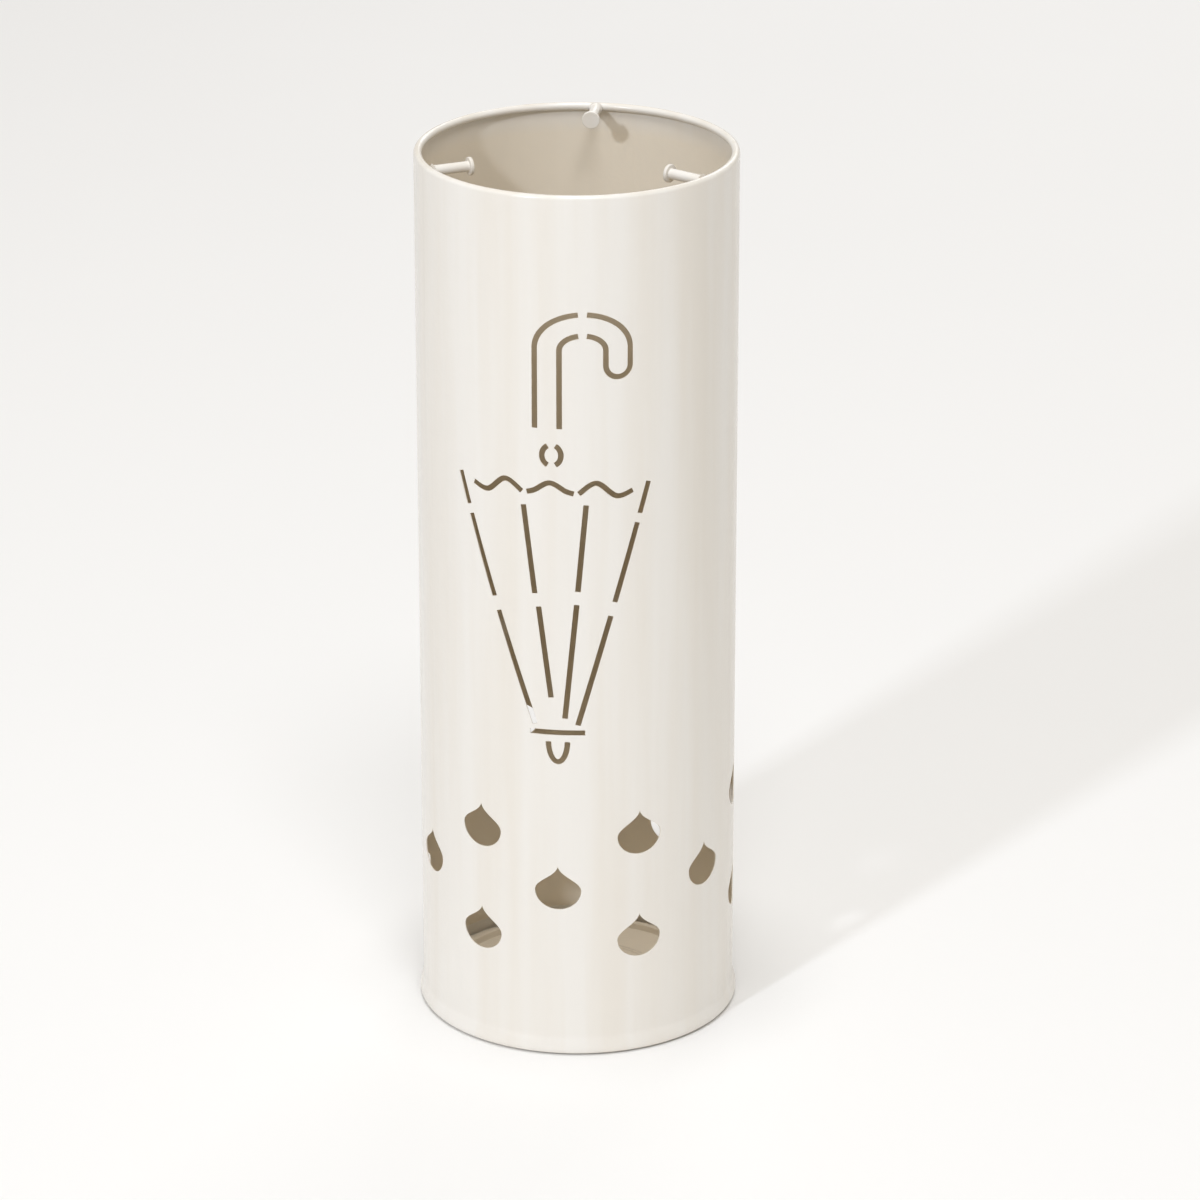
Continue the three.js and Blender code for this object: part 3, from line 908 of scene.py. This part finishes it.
class UMBRELLA_OT_tray(bpy.types.Operator):
    """Press the loose drip tray"""

    bl_idname = "umbrella_stand.tray"
    bl_label = "Drip tray"

    def execute(self, context):
        sheet = context.scene.stand_sheet.sheet
        low, top, lip = TRAY_LOW[2], TRAY_HIGH[2], TRAY_HIGH[0]
        lip_width, lean = 1.9 * MM, 1.2 * MM
        wall_top = lip - lip_width
        foot = wall_top - lean
        rib, rib_rise, rib_half = 48 * MM, 0.55 * MM, 2.4 * MM
        corners = [
            (0, low),
            (rib - rib_half, low),
            (rib, low + rib_rise),
            (rib + rib_half, low),
            (foot, low),
            (wall_top, top - sheet),
            (lip, top - sheet),
            (lip, top),
            (wall_top - sheet, top),
            (foot - sheet, low + sheet),
            (rib + rib_half, low + sheet),
            (rib, low + sheet + rib_rise),
            (rib - rib_half, low + sheet),
            (0, low + sheet),
        ]
        edge, bend = 0.26 * MM, 0.6 * MM
        rib_bends = [1.1 * MM, 0.9 * MM, 1.1 * MM]
        reach = [*rib_bends, bend, bend, edge, edge, bend, bend, *rib_bends]
        profile = softened_solid(corners, reach)
        material = powder_coat(context.scene.stand_finish)
        add_piece("pressed_tray", turned(profile, 160), material, "tray", ["drip_tray"])
        return {"FINISHED"}


class UMBRELLA_OT_hooks(bpy.types.Operator):
    """Turn the headed pins and weld them inside the rim"""

    bl_idname = "umbrella_stand.hooks"
    bl_label = "Hooks"

    rod_radius: length("Rod", "Radius of the pin", 2.85 * MM)
    head_thickness: length("Head", "Thickness of the head", 2 * MM)
    weld: length("Weld", "Leg of the weld round the root", 0.9 * MM)

    def execute(self, context):
        material = powder_coat(context.scene.stand_finish)
        face, root = BACK_HOOK_LOW[1], BACK_HOOK_HIGH[1]
        head = (BACK_HOOK_HIGH[2] - BACK_HOOK_LOW[2]) / 2
        rod, neck = self.rod_radius, root - face - self.head_thickness
        corners = [
            (0, 0),
            (rod + self.weld, 0),
            (rod, self.weld),
            (rod, neck),
            (head, neck),
            (head, root - face),
            (0, root - face),
        ]
        reach = [0.2 * MM, 0.85 * MM, 0.35 * MM, 0.55 * MM, 0.6 * MM]
        profile = softened_solid(corners, reach, 8)

        def ripple(angle, radius, along):
            """The weld's toe wanders in and out by a tenth of a millimetre, and dies out along the rod."""
            wander = 0.5 * np.sin(5 * angle) + 0.3 * np.sin(9 * angle + 1)
            return 0.14 * MM * wander * np.clip(1 - along / self.weld, 0, 1) * (radius > rod)

        points, faces = turned(profile, 48, ripple)
        for name in HOOKS:
            low, high = node_box(f"hook_pin_{name}")
            middle = (low + high) / 2
            inward = -unit(middle[:2])
            across = np.array([-inward[1], inward[0]])
            start = -inward * root
            place = points[:, 2:] * [*inward, 0] + points[:, :1] * [*across, 0]
            place = place + points[:, 1:2] * [0, 0, 1] + [*start, middle[2]]
            add_piece(f"headed_pin_{name}", (place, faces), material, "stand", [f"hook_pin_{name}"])
        return {"FINISHED"}


class UMBRELLA_OT_pads(bpy.types.Operator):
    """Stick the rubber pads under the base"""

    bl_idname = "umbrella_stand.pads"
    bl_label = "Foot pads"

    def execute(self, context):
        material = cellular_rubber(context.scene.stand_finish)
        radius, height = (PAD_HIGH[0] - PAD_LOW[0]) / 2, PAD_HIGH[2] - PAD_LOW[2]
        profile = softened_solid([(0, 0), (radius, 0), (radius, height), (0, height)], [0.45 * MM, 0.15 * MM])
        points, faces = turned(profile, 64)
        for number in PADS:
            low, high = node_box(f"foot_pad_{number}")
            place = points + [*(low[:2] + high[:2]) / 2, low[2]]
            add_piece(f"rubber_pad_{number}", (place, faces), material, "stand", [f"foot_pad_{number}"])
        return {"FINISHED"}


def add_light(name, azimuth, elevation, distance, size, power, tint, target):
    """A square area light that faces the target from an azimuth, an elevation and a distance."""
    light = bpy.data.lights.new(name, "AREA")
    light.size = size
    light.energy = power
    light.color = linear(tint)
    place = bpy.data.objects.new(name, light)
    away = direction(azimuth, elevation)
    place.location = target + away * distance
    place.rotation_euler = away.to_track_quat("Z", "Y").to_euler()
    bpy.context.scene.collection.objects.link(place)


def direction(azimuth, elevation):
    """The unit vector towards a viewer at an azimuth from the front and an elevation."""
    level = math.cos(elevation)
    return Vector((math.sin(azimuth) * level, -math.cos(azimuth) * level, math.sin(elevation)))


class UMBRELLA_OT_stage(bpy.types.Operator):
    """Set the floor, the lights and the camera"""

    bl_idname = "umbrella_stand.stage"
    bl_label = "Stage"

    def execute(self, context):
        scene = context.scene
        settings = scene.stand_stage
        bpy.ops.mesh.primitive_circle_add(vertices=96, radius=14, fill_type="NGON")
        floor = context.object
        floor.name = "studio_floor"
        floor.data.materials.append(studio_paper(scene.stand_finish))

        world = bpy.data.worlds.new("studio")
        world.use_nodes = True
        world.node_tree.nodes["Background"].inputs["Color"].default_value = (*linear("#FFFAF2"), 1)
        world.node_tree.nodes["Background"].inputs["Strength"].default_value = 0.43
        scene.world = world
        scene.view_settings.view_transform = "Standard"

        target = Vector((0, 0, settings.aim_height))
        behind = Vector((0, 1.7, 0))
        lamps = (
            # name, azimuth and elevation in degrees, distance, size, watts, colour, what it faces
            ("key", -29, 30, 7, 0.42, 134, "#ECF3FF", target),
            ("softbox", 15, 58, 4.5, 1.3, 48, "#F6F9FF", target),
            ("background_softbox", 165, 52, 2.6, 1.6, 16, "#F6F9FF", behind),
            ("overhead_softbox", -20, 88, 4.5, 0.8, 62, "#FFFFFF", target),
        )
        for name, azimuth, elevation, *lamp in lamps:
            add_light(name, math.radians(azimuth), math.radians(elevation), *lamp)

        lens = bpy.data.cameras.new("view")
        lens.sensor_width = 36
        lens.lens = settings.lens
        lens.clip_end = 60
        camera = bpy.data.objects.new("view", lens)
        scene.collection.objects.link(camera)
        right = Vector((math.cos(settings.azimuth), math.sin(settings.azimuth), 0))
        towards = direction(settings.azimuth, settings.elevation)
        camera.location = target + right * settings.aside + towards * settings.distance
        camera.rotation_euler = towards.to_track_quat("Z", "Y").to_euler()
        scene.camera = camera
        return {"FINISHED"}


class UMBRELLA_PT_panel(bpy.types.Panel):
    """Lists the pieces of the stand"""

    bl_idname = "UMBRELLA_PT_panel"
    bl_label = "Umbrella Stand"
    bl_space_type = "VIEW_3D"
    bl_region_type = "UI"
    bl_category = "Umbrella Stand"

    def draw(self, context):
        for operator in OPERATORS:
            self.layout.operator(operator.bl_idname)


GROUPS = {"stand_sheet": SheetSizes, "stand_cut": CutSizes, "stand_finish": Finish, "stand_stage": Stage}
OPERATORS = (
    UMBRELLA_OT_stage,
    UMBRELLA_OT_body,
    UMBRELLA_OT_rim_wire,
    UMBRELLA_OT_base,
    UMBRELLA_OT_tray,
    UMBRELLA_OT_hooks,
    UMBRELLA_OT_pads,
)


def register():
    for kind in (*GROUPS.values(), *OPERATORS, UMBRELLA_PT_panel):
        bpy.utils.register_class(kind)
    for name, group in GROUPS.items():
        setattr(bpy.types.Scene, name, PointerProperty(type=group))


def unregister():
    for name in GROUPS:
        delattr(bpy.types.Scene, name)
    for kind in reversed((*GROUPS.values(), *OPERATORS, UMBRELLA_PT_panel)):
        bpy.utils.unregister_class(kind)


def main():
    register()
    bpy.ops.umbrella_stand.stage()
    bpy.ops.umbrella_stand.body()
    bpy.ops.umbrella_stand.rim_wire()
    bpy.ops.umbrella_stand.base()
    bpy.ops.umbrella_stand.tray()
    bpy.ops.umbrella_stand.hooks()
    bpy.ops.umbrella_stand.pads()


if __name__ == "__main__":
    main()
